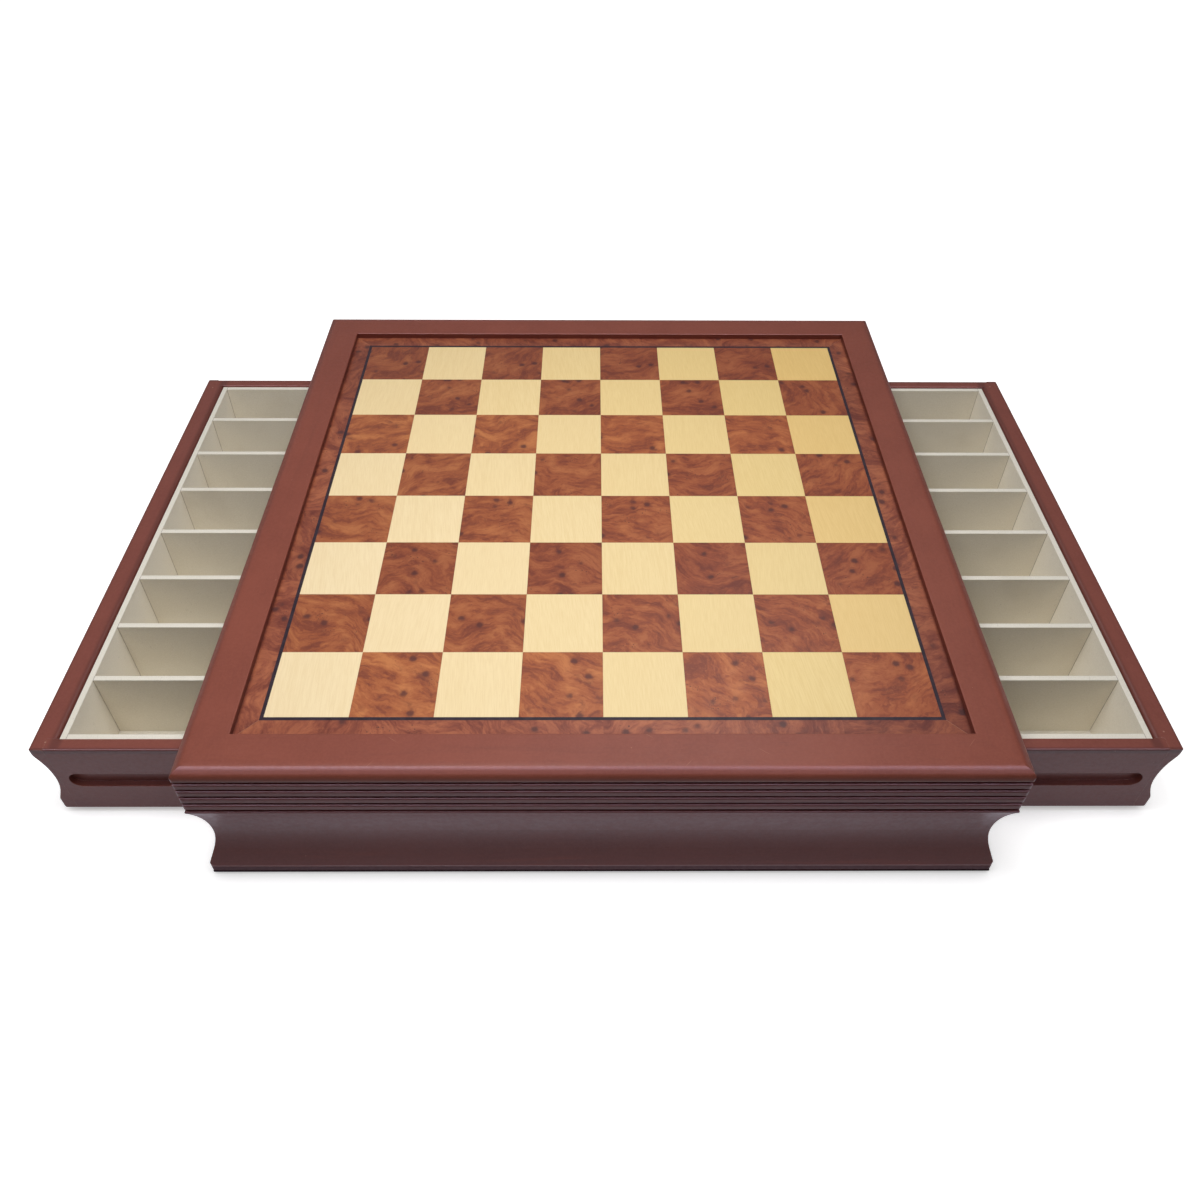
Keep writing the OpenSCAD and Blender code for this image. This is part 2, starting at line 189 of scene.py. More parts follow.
def between(tree, share, first, second):
    """A number between two others, by a share from 0 to 1."""
    return add(tree, "ShaderNodeMix", {0: share, 2: first, 3: second}).outputs[0]


def blend_colour(tree, share, first, second, how="MIX"):
    """Mixes two colours by a share from 0 to 1."""
    feeds = {0: share, 6: first, 7: second}
    return add(tree, "ShaderNodeMix", feeds, data_type="RGBA", blend_type=how).outputs[2]


def laid_on(tree, mask, strength, colour, over):
    """Lays a second colour over the first where a mask says, at a strength from 0 to 1."""
    return blend_colour(tree, calc(tree, "MULTIPLY", mask, strength), colour, over)


def tinted(tree, share, colour, tint):
    """Multiplies a colour by a tint, by a share from 0 to 1."""
    return blend_colour(tree, share, colour, tint, "MULTIPLY")


def noise(tree, place, scale, detail=2.0, rough=0.5, leaf=None):
    """Noise around 0.5; leaf moves it to another leaf of the same log."""
    feeds = {"Vector": place, "Scale": scale, "Detail": detail, "Roughness": rough}
    if leaf is not None:
        feeds["W"] = leaf
    return add(tree, "ShaderNodeTexNoise", feeds, noise_dimensions="3D" if leaf is None else "4D").outputs


def cells_of(tree, place, scale):
    """Cells scattered over a surface: the distance from the middle of each, and its own colour."""
    return add(tree, "ShaderNodeTexVoronoi", {"Vector": place, "Scale": scale}).outputs


def shifted(tree, place, noise_outputs, reach):
    """Shifts a place by a noise's colour, up to half the reach each way."""
    middle = vector_calc(tree, "SUBTRACT", noise_outputs["Color"], (0.5, 0.5, 0.5))
    return vector_calc(tree, "ADD", place, vector_calc(tree, "SCALE", middle, reach))


def stretched(tree, place, along, across, height):
    """Scales a place so that noise on it draws out into streaks."""
    return vector_calc(tree, "MULTIPLY", place, (along, across, height))


def turned(tree, place, angle):
    """Turns a place about the upright axis."""
    feeds = {"Vector": place, "Angle": angle}
    return add(tree, "ShaderNodeVectorRotate", feeds, rotation_type="Z_AXIS").outputs[0]


def bump(tree, height, normal, strength, distance):
    """A Bump node on top of another normal."""
    feeds = {"Height": height, "Normal": normal, "Strength": strength, "Distance": distance}
    return add(tree, "ShaderNodeBump", feeds).outputs[0]


NUMBER, VECTOR, COLOUR = "NodeSocketFloat", "NodeSocketVector", "NodeSocketColor"


def group(name, gives, takes):
    """An empty shader node group with named outputs and inputs, each of a kind of socket."""
    tree = bpy.data.node_groups.new(name, "ShaderNodeTree")
    for label, kind in takes.items():
        tree.interface.new_socket(label, in_out="INPUT", socket_type=kind)
    for label, kind in gives.items():
        tree.interface.new_socket(label, in_out="OUTPUT", socket_type=kind)
    start = tree.nodes.new("NodeGroupInput")
    tree.nodes.new("NodeGroupOutput")
    return tree, start.outputs


def give(tree, **results):
    """Joins a group's results to its outputs of the same names, and returns the group."""
    end = tree.nodes["Group Output"].inputs
    for name, result in results.items():
        tree.links.new(result, end[name])
    return tree


def place_group(tree, shared, **feeds):
    """Puts a shared group into a material with its own values."""
    made = tree.nodes.new("ShaderNodeGroup")
    made.node_tree = shared
    for name, value in feeds.items():
        feed(tree, made.inputs[name], value)
    return made.outputs


# ---------------------------------------------------------------- shared effects

def make_grain():
    """Straight grain of a sawn board: broad streaks, fine pores, clouds and a fine mottle."""
    tree, takes = group(
        "straight_grain",
        {"Streaks": NUMBER, "Pores": NUMBER, "Clouds": NUMBER, "Mottle": NUMBER},
        {"Place": VECTOR, "Turn": NUMBER, "Seed": NUMBER})
    seed = takes["Seed"]
    lie = turned(tree, takes["Place"], takes["Turn"])
    lie = shifted(tree, lie, noise(tree, lie, 9.0, 1.0, leaf=seed), 0.010)
    streaks = noise(tree, stretched(tree, lie, 12, 300, 300), 1.0, 3.0, 0.6, leaf=seed)[0]
    pores = noise(tree, stretched(tree, lie, 150, 2600, 2600), 1.0, 1.0, 0.5, leaf=seed)[0]
    clouds = noise(tree, lie, 34.0, 3.0, 0.55, leaf=seed)[0]
    mottle = noise(tree, lie, 760.0, 2.0, 0.6, leaf=seed)[0]
    return give(tree, Streaks=streaks, Pores=span(tree, pores, 0.56, 0.72), Clouds=clouds, Mottle=mottle)


def make_stain():
    """Red-brown stain that a board takes up unevenly, toned for one kind of piece."""
    tree, takes = group(
        "red_brown_stain",
        {"Colour": COLOUR},
        {"Streaks": NUMBER, "Pores": NUMBER, "Clouds": NUMBER, "Mottle": NUMBER, "Tone": COLOUR})
    colour = blend_colour(tree, span(tree, takes["Clouds"], 0.30, 0.70), STAIN_DEEP, STAIN_MID)
    colour = laid_on(tree, span(tree, takes["Streaks"], 0.50, 0.80), 0.22, colour, STAIN_DARK)
    colour = laid_on(tree, span(tree, takes["Mottle"], 0.35, 0.70), 0.34, colour, STAIN_LIGHT)
    colour = laid_on(tree, takes["Pores"], 0.16, colour, STAIN_DARK)
    return give(tree, Colour=tinted(tree, 1.0, colour, takes["Tone"]))


def make_arris():
    """Softened edge: the rounded normal, and a mask of the edge broken up as hands wear it."""
    tree, takes = group(
        "worn_arris",
        {"Normal": VECTOR, "Wear": NUMBER},
        {"Place": VECTOR, "Round": NUMBER, "Reach": NUMBER})
    soft = add(tree, "ShaderNodeBevel", {"Radius": takes["Round"]}, samples=4).outputs[0]
    wide = add(tree, "ShaderNodeBevel", {"Radius": takes["Reach"]}, samples=4).outputs[0]
    alike = vector_calc(tree, "DOT_PRODUCT", wide, facing(tree))
    edge = span(tree, alike, 0.995, 0.86)
    rub = noise(tree, takes["Place"], 55.0, 4.0, 0.65)[0]
    nick = noise(tree, takes["Place"], 900.0, 2.0, 0.6)[0]
    broken = calc(tree, "MULTIPLY", span(tree, rub, 0.40, 0.66), span(tree, nick, 0.34, 0.62))
    return give(tree, Normal=soft, Wear=calc(tree, "MULTIPLY", edge, broken))


def make_lacquer():
    """Satin lacquer that has been handled: sparse flecks, short scratches, a ripple and an uneven sheen."""
    tree, takes = group(
        "handled_lacquer",
        {"Flecks": NUMBER, "Scratches": NUMBER, "Ripple": NUMBER, "Roughness": NUMBER},
        {"Place": VECTOR, "Spacing": NUMBER, "Size": NUMBER, "Roughness": NUMBER})
    place = takes["Place"]
    spot = shifted(tree, place, noise(tree, place, 300.0), 0.0016)
    cells = cells_of(tree, spot, calc(tree, "DIVIDE", 1.0, takes["Spacing"]))
    fleck = span(tree, cells["Distance"], takes["Size"], calc(tree, "MULTIPLY", takes["Size"], 0.4))
    chosen = calc(tree, "GREATER_THAN", red_of(tree, cells["Color"]), 0.35)
    # A scratch is a fleck drawn out along one slant or the other
    marks = []
    for slant, seed in ((0.6, 11.0), (2.3, 29.0)):
        drawn = stretched(tree, turned(tree, place, slant), 42, 1500, 1500)
        line = cells_of(tree, vector_calc(tree, "ADD", drawn, (seed, seed, 0.0)), 0.5)
        rare = calc(tree, "GREATER_THAN", red_of(tree, line["Color"]), 0.90)
        marks.append(calc(tree, "MULTIPLY", span(tree, line["Distance"], 0.085, 0.030), rare))
    ripple = noise(tree, place, 420.0, 3.0, 0.55)[0]
    glossiest = calc(tree, "SUBTRACT", takes["Roughness"], 0.04)
    dullest = calc(tree, "ADD", takes["Roughness"], 0.05)
    return give(tree, Flecks=calc(tree, "MULTIPLY", fleck, chosen), Scratches=calc(tree, "MAXIMUM", *marks),
                Ripple=ripple, Roughness=span(tree, ripple, 0.30, 0.70, glossiest, dullest))


def make_crown():
    """The cap's top leans outwards a little before its rounding, and its lip's upright face above the board
    is masked for painted shade.
    """
    tree, takes = group(
        "crowned_cap",
        {"Normal": VECTOR, "Lip": NUMBER},
        {"Place": VECTOR, "Across": VECTOR})
    true = facing(tree)
    up = parts_of(tree, true)[2]
    out = vector_calc(tree, "DOT_PRODUCT", takes["Place"], takes["Across"])
    outwards = calc(tree, "ABSOLUTE", out)
    past_flat = calc(tree, "SUBTRACT", outwards, CAP_EDGE - CROWN_WIDE)
    lean = span(tree, past_flat, 0.0, CROWN_WIDE, 0.0, CROWN_LEAN)
    lean = calc(tree, "MULTIPLY", lean, span(tree, up, 0.72, 0.97))
    lean = calc(tree, "MULTIPLY", lean, calc(tree, "SIGN", out))
    leaning = vector_calc(tree, "ADD", true, vector_calc(tree, "SCALE", takes["Across"], lean))
    inside = span(tree, outwards, LIP_EDGE + 0.002, LIP_EDGE + 0.001)
    lip_shade = calc(tree, "MULTIPLY", inside, span(tree, up, 0.7, 0.3))
    return give(tree, Normal=vector_calc(tree, "NORMALIZE", leaning), Lip=lip_shade)


def make_foot():
    """Where the foot is rubbed redder along its grain, and where painted shade darkens its lowest edge."""
    tree, takes = group(
        "rubbed_foot",
        {"Rubbed": NUMBER, "Edge": NUMBER},
        {"Place": VECTOR, "Streaks": NUMBER})
    up = parts_of(tree, takes["Place"])[2]
    low_down = span(tree, up, RUBBED_TOP, RUBBED_FULL)
    rubbed = calc(tree, "MULTIPLY", low_down, span(tree, takes["Streaks"], 0.50, 0.75))
    return give(tree, Rubbed=rubbed, Edge=span(tree, up, FOOT_EDGE_TOP, FOOT_EDGE_FULL))


def make_rim_shade():
    """Painted shade on a drawer's upper edges: beside the lining, and along the face and sides."""
    tree, takes = group("drawer_rim_painted_shade", {"Stain": NUMBER}, {"Place": VECTOR, "Clouds": NUMBER})
    x, y, z = parts_of(tree, takes["Place"])
    on_right = calc(tree, "GREATER_THAN", x, 0.0)
    lining = between(tree, on_right, inner_face("left_front"), inner_face("right_front"))
    face = between(tree, on_right, outer_face("left_front"), outer_face("right_front"))
    reach = calc(tree, "MULTIPLY_ADD", takes["Clouds"], 0.0020, 0.0030)
    by_lining = span(tree, apart(tree, x, lining), reach, 0.0012)
    by_face = calc(tree, "MULTIPLY", span(tree, apart(tree, x, face), 0.0028, 0.0010), 0.8)
    by_side = span(tree, apart(tree, calc(tree, "ABSOLUTE", y), DRAWER_HALF), 0.0018, 0.0009)
    marks = calc(tree, "MAXIMUM", by_lining, calc(tree, "MAXIMUM", by_side, by_face))
    upper = span(tree, z, DRAWER_TOP - 0.004, DRAWER_TOP - 0.002)
    return give(tree, Stain=calc(tree, "MULTIPLY", marks, upper))


def make_square_finder():
    """Column and row of the square at a place, and the place measured from the square's middle."""
    tree, takes = group(
        "board_square",
        {"Column": NUMBER, "Row": NUMBER, "Local": VECTOR},
        {"Place": VECTOR})
    found, local = [], []
    for along in parts_of(tree, takes["Place"])[:2]:
        number = calc(tree, "FLOOR", calc(tree, "DIVIDE", along, SQUARE))
        found.append(number)
        local.append(calc(tree, "MULTIPLY_ADD", calc(tree, "ADD", number, 0.5), -SQUARE, along))
    return give(tree, Column=found[0], Row=found[1], Local=vector_of(tree, *local))


def make_burl():
    """Burl veneer: fibres that flow and swirl, dark smears along them, and eyes alone or in crowds."""
    tree, takes = group(
        "burl_veneer",
        {"Colour": COLOUR, "Fibres": NUMBER},
        {"Place": VECTOR, "Leaf": NUMBER, "Pale": COLOUR, "Mid": COLOUR, "Deep": COLOUR, "Eye": COLOUR})
    place, leaf = takes["Place"], takes["Leaf"]
    pale, mid, deep, eye = takes["Pale"], takes["Mid"], takes["Deep"], takes["Eye"]
    # Eyes are cut through small spheres, so that most cells show none
    depth = vector_of(tree, z=calc(tree, "MULTIPLY", leaf, 0.0031))
    sliced = vector_calc(tree, "ADD", place, depth)
    sliced = shifted(tree, sliced, noise(tree, place, 420.0, 2.0, leaf=leaf), 0.0018)
    from_knot = cells_of(tree, sliced, 88.0)["Distance"]
    from_seed = cells_of(tree, sliced, 520.0)["Distance"]
    crowd = span(tree, noise(tree, place, 75.0, 1.0, leaf=leaf)[0], 0.58, 0.68)
    knot = span(tree, from_knot, 0.40, 0.04)
    # The fibres lie along a direction that swings slowly over the leaf, and they bend round the knots
    swing = calc(tree, "SUBTRACT", noise(tree, place, 26.0, 1.0, leaf=leaf)[0], 0.5)
    angle = calc(tree, "MULTIPLY_ADD", swing, 3.2, calc(tree, "MULTIPLY", leaf, 1.7))
    wavy = shifted(tree, place, noise(tree, place, 95.0, 3.0, 0.6, leaf=leaf), 0.0085)
    bend = vector_of(tree, y=calc(tree, "MULTIPLY", knot, 0.0024))
    flow = vector_calc(tree, "ADD", turned(tree, wavy, angle), bend)

    def fibre(along, across, detail, other_leaf):
        drawn = stretched(tree, flow, along, across, across)
        return noise(tree, drawn, 1.0, detail, 0.6, leaf=calc(tree, "ADD", leaf, other_leaf))[0]

    fibres = fibre(110.0, 560.0, 3.0, 3.1)
    threads = fibre(260.0, 2300.0, 2.0, 7.7)
    broad = fibre(48.0, 120.0, 3.0, 0.0)
    warm = calc(tree, "MULTIPLY_ADD", fibres, 0.45, calc(tree, "MULTIPLY", broad, 0.75))
    cloud = calc(tree, "MULTIPLY_ADD", knot, 0.10, fibre(70.0, 150.0, 4.0, 13.7))
    smears = calc(tree, "MAXIMUM", span(tree, cloud, 0.56, 0.74), calc(tree, "MULTIPLY", knot, 0.75))
    seeds = calc(tree, "MULTIPLY", span(tree, from_seed, 0.30, 0.14), crowd)
    rings = calc(tree, "MULTIPLY", span(tree, from_seed, 0.55, 0.30), crowd)
    eyes = calc(tree, "MAXIMUM", span(tree, from_knot, 0.22, 0.09), seeds)
    colour = blend_colour(tree, span(tree, warm, 0.44, 0.62), deep, mid)
    colour = blend_colour(tree, span(tree, warm, 0.56, 0.76), colour, pale)
    colour = laid_on(tree, span(tree, threads, 0.50, 0.74), 0.34, colour, pale)
    colour = laid_on(tree, span(tree, threads, 0.48, 0.28), 0.34, colour, deep)
    colour = laid_on(tree, smears, 0.62, colour, deep)
    colour = laid_on(tree, calc(tree, "POWER", smears, 3.0), 0.42, colour, eye)
    colour = laid_on(tree, rings, 0.30, colour, pale)
    return give(tree, Colour=laid_on(tree, eyes, 0.78, colour, eye), Fibres=fibres)


def make_flock():
    """Cream flock: short matt pile with a nap, soft stains and stray hairs, and painted warmer bounce light
    on upright faces.
    """
    tree, takes = group(
        "cream_flock",
        {"Colour": COLOUR, "Relief": NUMBER},
        {"Place": VECTOR, "Seed": NUMBER})
    place, seed = takes["Place"], takes["Seed"]
    pile = noise(tree, place, 1500.0, 3.0, 0.7, leaf=seed)[0]
    nap = noise(tree, place, 240.0, 3.0, 0.6, leaf=seed)[0]
    stain = noise(tree, place, 22.0, 3.0, 0.55, leaf=seed)[0]
    hair = noise(tree, stretched(tree, place, 900, 260, 420), 1.0, 2.0, 0.6, leaf=seed)[0]
    colour = blend_colour(tree, span(tree, pile, 0.34, 0.68), FLOCK_DULL, FLOCK_PALE)
    colour = laid_on(tree, span(tree, nap, 0.45, 0.75), 0.25, colour, FLOCK_DULL)
    colour = laid_on(tree, span(tree, stain, 0.52, 0.80), 0.22, colour, FLOCK_STAIN)
    colour = laid_on(tree, span(tree, hair, 0.64, 0.76), 0.30, colour, FLOCK_HAIR)
    up = calc(tree, "ABSOLUTE", parts_of(tree, facing(tree))[2])
    # Painted warmer bounce light on upright faces
    colour = tinted(tree, span(tree, up, 0.8, 0.3), colour, FLOCK_WALL_BOUNCE_TINT)
    return give(tree, Colour=colour, Relief=calc(tree, "MULTIPLY_ADD", nap, 0.8, pile))


GRAIN = make_grain()
STAIN = make_stain()
ARRIS = make_arris()
LACQUER = make_lacquer()
CROWN = make_crown()
FOOT = make_foot()
RIM_SHADE = make_rim_shade()
SQUARE_FINDER = make_square_finder()
BURL = make_burl()
FLOCK = make_flock()


# ---------------------------------------------------------------- finishes

# Turns that lay the grain along each axis
ALONG_X, ALONG_Y = 0.0, math.pi / 2


def new_finish(name, **uniform):
    """A material with its shader; uniform sets the shader's own sockets."""
    finish = bpy.data.materials.new(name)
    finish.use_nodes = True
    tree = finish.node_tree
    tree.nodes.clear()
    shader = tree.nodes.new("ShaderNodeBsdfPrincipled")
    out = tree.nodes.new("ShaderNodeOutputMaterial")
    tree.links.new(shader.outputs[0], out.inputs[0])
    for socket, value in uniform.items():
        shader.inputs[socket.replace("_", " ")].default_value = value
    place = add(tree, "ShaderNodeTexCoord").outputs["Object"]
    return finish, tree, shader, place


def join_shader(tree, shader, colour, normal, roughness=None):
    """Joins a finish's colour, normal and, where it varies, its roughness to the shader."""
    tree.links.new(colour, shader.inputs["Base Color"])
    tree.links.new(normal, shader.inputs["Normal"])
    if roughness is not None:
        tree.links.new(roughness, shader.inputs["Roughness"])


def stained_wood(name, kind, turn, seed, tone, shine=0.5):
    """Satin lacquer over red-brown stain on a cap, a moulding or a drawer."""
    finish, tree, shader, place = new_finish(name, Specular_IOR_Level=shine)
    grain = place_group(tree, GRAIN, Place=place, Turn=turn, Seed=seed)
    streaks, pores, clouds, mottle = (grain[part] for part in ("Streaks", "Pores", "Clouds", "Mottle"))
    lacquer = place_group(tree, LACQUER, Place=place, Spacing=0.0085, Size=0.040, Roughness=0.42)
    roughness = lacquer["Roughness"]
    stain = place_group(tree, STAIN, Streaks=streaks, Pores=pores, Clouds=clouds, Mottle=mottle, Tone=tone)
    colour = stain["Colour"]
    if kind == "drawer":
        # Painted shade darkens the drawer's upper edges beside the lining, along the face and along the
        # sides
        rim_shade = place_group(tree, RIM_SHADE, Place=place, Clouds=clouds)["Stain"]
        colour = laid_on(tree, rim_shade, 0.80, colour, STAIN_DARK)
        arris = place_group(tree, ARRIS, Place=place, Round=0.0004, Reach=0.0010)
        colour = laid_on(tree, arris["Wear"], 0.40, colour, STAIN_WORN)
        normal = arris["Normal"]
    elif kind == "moulding":
        foot = place_group(tree, FOOT, Place=place, Streaks=streaks)
        colour = laid_on(tree, foot["Rubbed"], 0.35, colour, STAIN_RUBBED)
        # Painted shade, darker and cooler, along the foot's lowest edge
        colour = tinted(tree, foot["Edge"], colour, FOOT_EDGE_SHADE_TINT)
        roughness = calc(tree, "MULTIPLY_ADD", foot["Edge"], 0.45, roughness)
        normal = facing(tree)
    else:
        across = (0.0, 1.0, 0.0) if turn == ALONG_X else (1.0, 0.0, 0.0)
        crown = place_group(tree, CROWN, Place=place, Across=across)
        # Painted shade darkens the upright face of the lip above the board
        colour = tinted(tree, crown["Lip"], colour, LIP_SHADE_TINT)
        normal = crown["Normal"]
    colour = laid_on(tree, lacquer["Flecks"], 0.50, colour, STAIN_WORN)
    colour = laid_on(tree, lacquer["Scratches"], 0.38, colour, STAIN_WORN)
    relief = calc(tree, "MULTIPLY_ADD", pores, -0.5, lacquer["Ripple"])
    normal = bump(tree, relief, normal, strength=0.10, distance=0.0003)
    join_shader(tree, shader, colour, normal, roughness)
    return finish


def lacquer_veneer(tree, shader, place, colour, relief, roughness):
    """Joins a veneer's colour to its shader under one coat of satin lacquer."""
    coat = place_group(tree, LACQUER, Place=place, Spacing=0.016, Size=0.022, Roughness=roughness)
    relief = calc(tree, "MULTIPLY_ADD", relief, 0.6, coat["Ripple"])
    normal = bump(tree, relief, facing(tree), strength=0.07, distance=0.0002)
    join_shader(tree, shader, colour, normal, coat["Roughness"])


def stepped(tree, value, steps):
    """Picks one of several numbers from 0 to 1 by a whole number, counted from 0."""
    share = calc(tree, "DIVIDE", calc(tree, "ADD", value, 0.5), len(steps))
    picker = add(tree, "ShaderNodeValToRGB", {0: share})
    picker.color_ramp.interpolation = "CONSTANT"
    marks = picker.color_ramp.elements
    while len(marks) < len(steps):
        marks.new(1.0)
    for number, (mark, step) in enumerate(zip(marks, steps)):
        mark.position = number / len(steps)
        mark.color = (step, step, step, 1.0)
    return red_of(tree, picker.outputs[0])


def in_last_column(tree, column):
    """1 in the board's last column, whose leaves come from another log."""
    return calc(tree, "GREATER_THAN", column, SQUARES_FROM_MIDDLE - 1.5)


# Steps through the burl's log from row to row and from column to column, and to the last column's log
ROW_STEP, COLUMN_STEP, LOG_STEP = 7.31, 0.045, 41.7

# How far the figure creeps from one leaf of a row to the next
LEAF_CREEP = 0.0007


def burl_squares():
    """Dark squares: the leaves of one row follow each other in the log."""
    finish, tree, shader, place = new_finish("burl_squares_lacquered", Specular_IOR_Level=0.5)
    square = place_group(tree, SQUARE_FINDER, Place=place)
    column, row = square["Column"], square["Row"]
    other_log = in_last_column(tree, column)
    leaf = calc(tree, "MULTIPLY", row, ROW_STEP)
    leaf = calc(tree, "MULTIPLY_ADD", column, COLUMN_STEP, leaf)
    leaf = calc(tree, "MULTIPLY_ADD", other_log, LOG_STEP, leaf)
    creep = vector_of(tree, y=calc(tree, "MULTIPLY", column, LEAF_CREEP))
    local = vector_calc(tree, "ADD", square["Local"], creep)
    burl = place_group(tree, BURL, Place=local, Leaf=leaf, Pale=(0.490, 0.176, 0.060),
                       Mid=(0.340, 0.096, 0.034), Deep=(0.190, 0.046, 0.022), Eye=(0.080, 0.022, 0.018))
    redder = span(tree, column, -3.0, 2.0, 0.0, 0.9)
    colour = tinted(tree, redder, burl["Colour"], (0.94, 0.83, 0.82))
    darker = stepped(tree, calc(tree, "ADD", row, SQUARES_FROM_MIDDLE), BURL_ROWS)
    darker = calc(tree, "MAXIMUM", darker, calc(tree, "MULTIPLY", other_log, 0.4))
    colour = tinted(tree, darker, colour, (0.66, 0.56, 0.66))
    lacquer_veneer(tree, shader, place, colour, burl["Fibres"], 0.38)
    return finish


LEAVES_IN_MAPLE_LOG = 60.0


def maple_squares():
    """Light squares: close straight grain away from the player, and each square a shade of its own."""
    finish, tree, shader, place = new_finish("maple_squares_lacquered", Specular_IOR_Level=0.5)
    square = place_group(tree, SQUARE_FINDER, Place=place)
    column, row, local = square["Column"], square["Row"], square["Local"]
    chance = chance_of(tree, vector_of(tree, column, row))
    leaf = calc(tree, "MULTIPLY", chance, LEAVES_IN_MAPLE_LOG)
    lie = turned(tree, local, calc(tree, "MULTIPLY_ADD", chance, 0.22, -0.14))
    lines = noise(tree, stretched(tree, lie, 2300, 110, 1), 1.0, 1.0, 0.5, leaf=leaf)[0]
    broad = noise(tree, stretched(tree, lie, 300, 12, 1), 1.0, 2.0, 0.5, leaf=leaf)[0]
    flecks = noise(tree, stretched(tree, lie, 2100, 800, 1), 1.0, 2.0, 0.55, leaf=leaf)[0]
    cloud = noise(tree, local, 48.0, 2.0, 0.5, leaf=leaf)[0]
    colour = blend_colour(tree, span(tree, lines, 0.32, 0.70), MAPLE_PALE, MAPLE_LINE)
    colour = laid_on(tree, span(tree, broad, 0.45, 0.75), 0.25, colour, MAPLE_WARM)
    colour = laid_on(tree, span(tree, flecks, 0.58, 0.74), 0.22, colour, MAPLE_FLECK)
    colour = laid_on(tree, cloud, 0.30, colour, MAPLE_WARM)
    # The leaves get yellower from left to right, and the far rows are a little warmer
    yellower = calc(tree, "MULTIPLY", span(tree, column, -5.0, 4.0), 0.85)
    colour = tinted(tree, yellower, colour, (0.89, 0.82, 0.52))
    colour = tinted(tree, span(tree, row, -2.0, 3.0), colour, (1.04, 1.0, 0.87))
    other_log = calc(tree, "MULTIPLY", in_last_column(tree, column), 0.80)
    colour = tinted(tree, other_log, colour, (1.0, 0.92, 0.84))
    colour = laid_on(tree, chance, 0.18, colour, MAPLE_WARM)
    lacquer_veneer(tree, shader, place, colour, lines, 0.42)
    return finish


# The border's leaves start a little further along on each of its four sides
SIDE_SHIFT = 0.0131
LEAVES_IN_BORDER_LOG = 97.0

# The border darkens with how far a place lies to the right and towards the player, summed
DARK_CORNER_FROM, DARK_CORNER_FULL = 0.22, 0.31


def burl_border():
    """Burl border: short leaves butted end to end along each side, mitred at the corners."""
    finish, tree, shader, place = new_finish("burl_border_lacquered", Specular_IOR_Level=0.5)
    x, y, _ = parts_of(tree, place)
    wide = calc(tree, "ABSOLUTE", x)
    deep = calc(tree, "ABSOLUTE", y)
    on_end = calc(tree, "GREATER_THAN", wide, deep)
    along = between(tree, on_end, x, y)
    out = between(tree, on_end, y, x)
    side = calc(tree, "MULTIPLY_ADD", calc(tree, "GREATER_THAN", out, 0.0), 2.0, on_end)
    along = calc(tree, "MULTIPLY_ADD", side, SIDE_SHIFT, along)
    number = calc(tree, "FLOOR", calc(tree, "DIVIDE", along, BORDER_LEAF))
    chance = chance_of(tree, vector_of(tree, number, side))
    from_middle = calc(tree, "MULTIPLY_ADD", calc(tree, "ADD", number, 0.5), -BORDER_LEAF, along)
    across = calc(tree, "SUBTRACT", calc(tree, "ABSOLUTE", out), BORDER_MIDDLE)
    burl = place_group(tree, BURL, Place=vector_of(tree, from_middle, across),
                       Leaf=calc(tree, "MULTIPLY", chance, LEAVES_IN_BORDER_LOG), Pale=(0.385, 0.122, 0.055),
                       Mid=(0.250, 0.066, 0.033), Deep=(0.140, 0.030, 0.018), Eye=(0.060, 0.018, 0.016))
    darker = span(tree, chance, 0.55, 1.0, 0.0, 0.5)
    colour = tinted(tree, darker, burl["Colour"], (0.60, 0.50, 0.52))
    # The leaves at the near right corner are the darkest
    to_corner = calc(tree, "SUBTRACT", x, y)
    corner = span(tree, to_corner, DARK_CORNER_FROM, DARK_CORNER_FULL, 0.0, 0.75)
    colour = tinted(tree, corner, colour, (0.62, 0.54, 0.60))
    # Painted shadow along the foot of the cap's lip
    outermost = calc(tree, "MAXIMUM", wide, deep)
    lip_shadow = span(tree, outermost, LIP_EDGE - 0.0014, LIP_EDGE - 0.0002, 0.0, 0.70)
    colour = tinted(tree, lip_shadow, colour, (0.45, 0.36, 0.38))
    mitre = span(tree, apart(tree, wide, deep), 0.00022, 0.00006)
    colour = laid_on(tree, mitre, 0.5, colour, (0.45, 0.24, 0.16))
    lacquer_veneer(tree, shader, place, colour, burl["Fibres"], 0.38)
    return finish


def dyed_stringing():
    """Dyed stringing under the same lacquer, with open pores along its length."""
    finish, tree, shader, place = new_finish("dyed_stringing_lacquered", Specular_IOR_Level=0.35)
    tone = span(tree, noise(tree, place, 260.0, 3.0, 0.6)[0], 0.35, 0.70)
    pores = noise(tree, place, 1500.0, 1.0)[0]
    colour = blend_colour(tree, tone, (0.016, 0.009, 0.013), (0.030, 0.018, 0.024))
    colour = laid_on(tree, span(tree, pores, 0.60, 0.75), 0.4, colour, (0.008, 0.005, 0.007))
    lacquer_veneer(tree, shader, place, colour, pores, 0.40)
    return finish


def flocked_card(name, joint=None, soft_edges=True):
    """Cream flock on card, with a dark line where the strips butt on the lining's front wall."""
    finish, tree, shader, place = new_finish(
        name, Roughness=0.95, Specular_IOR_Level=0.2, Sheen_Weight=0.2, Sheen_Roughness=0.6)
    flock = place_group(tree, FLOCK, Place=place, Seed=3.0)
    colour = flock["Colour"]
    if joint is not None:
        line = span(tree, apart(tree, parts_of(tree, place)[0], joint), 0.00045, 0.00015)
        colour = laid_on(tree, line, 0.6, colour, FLOCK_JOINT)
    if soft_edges:
        normal = place_group(tree, ARRIS, Place=place, Round=0.0004, Reach=0.0006)["Normal"]
    else:
        normal = facing(tree)
    normal = bump(tree, flock["Relief"], normal, strength=0.30, distance=0.0004)
    join_shader(tree, shader, colour, normal)
    return finish


